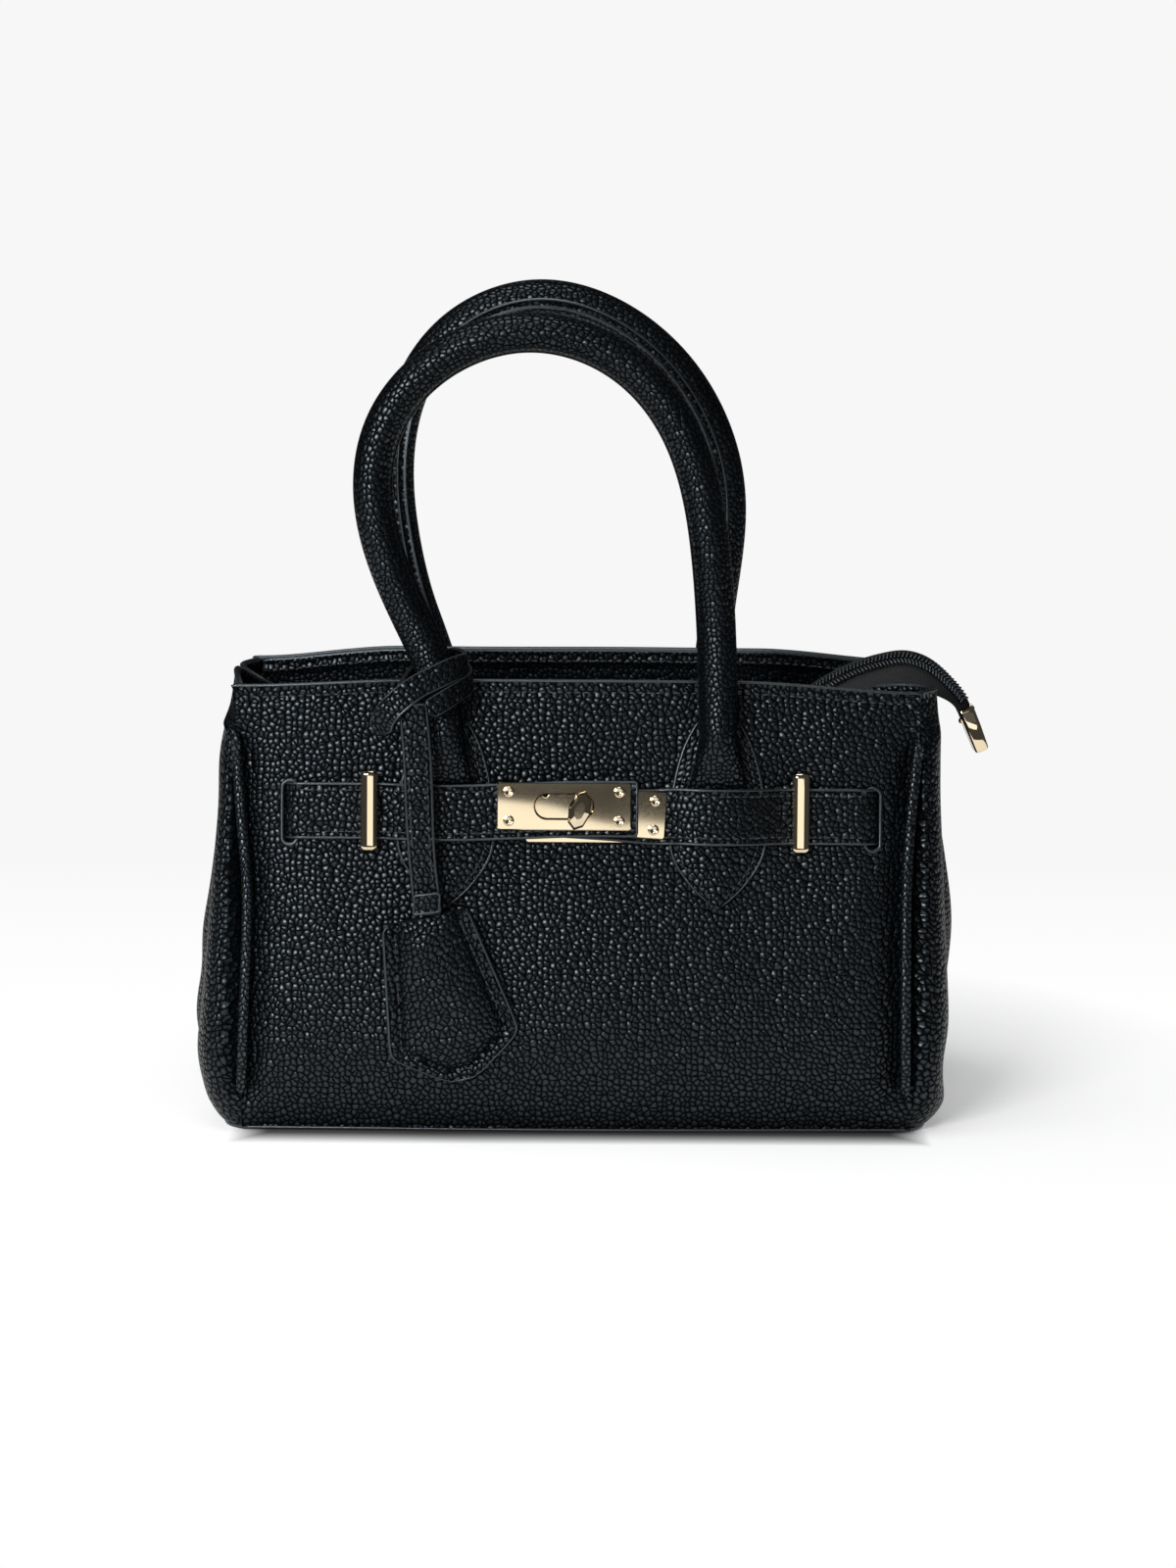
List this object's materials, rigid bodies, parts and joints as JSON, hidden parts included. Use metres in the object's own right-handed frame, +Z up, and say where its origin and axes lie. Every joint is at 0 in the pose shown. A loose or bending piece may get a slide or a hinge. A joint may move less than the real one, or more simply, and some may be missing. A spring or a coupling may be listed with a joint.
{
  "type": "top handle bag",
  "caption": "Small leather top handle bag with rolled handles, a belted turn lock, a hanging key fob and a recessed top zip.",
  "frame": {"origin": "centre of the base on the floor", "axes": "+X to the viewer's right, +Y to the back, +Z up"},
  "size_m": [0.3129, 0.1267, 0.3201],
  "materials": {
    "leather": "pebbled, semi-matt",
    "gold_metal": "polished pale gold",
    "zip_cloth": "woven",
    "board": "raw",
    "handle_filler": "corded",
    "lining": "smooth"
  },
  "bodies": {
    "bag": {"back_base_edge": "leather", "back_facing": "leather", "back_left_handle_base": "leather", "back_left_welt": "leather", "back_lining": "lining", "back_panel": "leather", "back_right_handle_base": "leather", "back_right_welt": "leather", "base_board": "board", "base_lining": "lining", "base_panel": "leather", "front_base_edge": "leather", "front_facing": "leather", "front_left_handle_base": "leather", "front_left_welt": "leather", "front_lining": "lining", "front_panel": "leather", "front_right_handle_base": "leather", "front_right_welt": "leather", "keeper_washers": "gold_metal", "lanyard_loop": "leather", "left_gusset": "leather", "left_keeper_bar": "gold_metal", "left_lining": "lining", "left_lock_plate": "gold_metal", "left_plate_rivets": "gold_metal", "left_strap": "leather", "lock_backing": "gold_metal", "lock_base": "gold_metal", "right_gusset": "leather", "right_keeper_bar": "gold_metal", "right_lining": "lining", "right_lock_plate": "gold_metal", "right_plate_rivets": "gold_metal", "right_strap": "leather", "zip_chain": "zip_cloth"},
    "front_handle": {"front_handle_cover": "leather", "front_handle_core": "handle_filler"},
    "back_handle": {"back_handle_cover": "leather", "back_handle_core": "handle_filler"},
    "knob": {"turn_knob": "gold_metal"},
    "fob": {"lanyard_strip": "leather", "lanyard_tab": "leather", "fob_front": "leather", "fob_back": "leather"},
    "slider": {"zip_slider": "gold_metal"},
    "pull": {"zip_pull": "gold_metal"},
    "front_flap": {"front_zip_flap": "leather", "front_zip_tape": "zip_cloth"},
    "back_flap": {"back_zip_flap": "leather", "back_zip_tape": "zip_cloth"},
    "tail": {"zip_tail": "zip_cloth", "zip_end_cap": "gold_metal", "zip_cap_screw": "gold_metal"}
  },
  "joints": [
    {"name": "front_handle_tilt", "type": "hinge", "parent": "bag", "child": "front_handle", "pos_m": [0, -0.04437, 0.19], "axis": [1, 0, 0], "range_deg": [-17, 80]},
    {"name": "back_handle_tilt", "type": "hinge", "parent": "bag", "child": "back_handle", "pos_m": [0, 0.04437, 0.19], "axis": [-1, 0, 0], "range_deg": [-17, 80]},
    {"name": "knob_turn", "type": "hinge", "parent": "bag", "child": "knob", "pos_m": [-0.0008, -0.04613, 0.12266], "axis": [0, -0.9903, 0.1386], "range_deg": [-73, 17]},
    {"name": "fob_swing", "type": "hinge", "parent": "bag", "child": "fob", "pos_m": [-0.0595, -0.06079, 0.1601], "axis": [1, 0, 0], "range_deg": [-60, 0]},
    {"name": "zip_slide", "type": "slide", "parent": "bag", "child": "slider", "axis": [1, 0, 0], "range_m": [-0.15, 0]},
    {"name": "zip_pull_swing", "type": "hinge", "parent": "slider", "child": "pull", "pos_m": [0.05592, 0, 0.15555], "axis": [0, -1, 0], "range_deg": [0, 100]},
    {"name": "front_flap_fold", "type": "hinge", "parent": "bag", "child": "front_flap", "pos_m": [0, -0.0366, 0.1512], "axis": [1, 0, 0], "range_deg": [0, 90]},
    {"name": "back_flap_fold", "type": "hinge", "parent": "bag", "child": "back_flap", "pos_m": [0, 0.0366, 0.1512], "axis": [-1, 0, 0], "range_deg": [0, 90]},
    {"name": "zip_tail_lift", "type": "hinge", "parent": "bag", "child": "tail", "pos_m": [0.11579, 0, 0.17572], "axis": [0, -1, 0], "range_deg": [0, 40]}
  ],
  "couplings": [
    {"joint": "front_flap_fold", "follows": "zip_slide", "rad_per_m": -10.472},
    {"joint": "back_flap_fold", "follows": "zip_slide", "rad_per_m": -10.472}
  ]
}
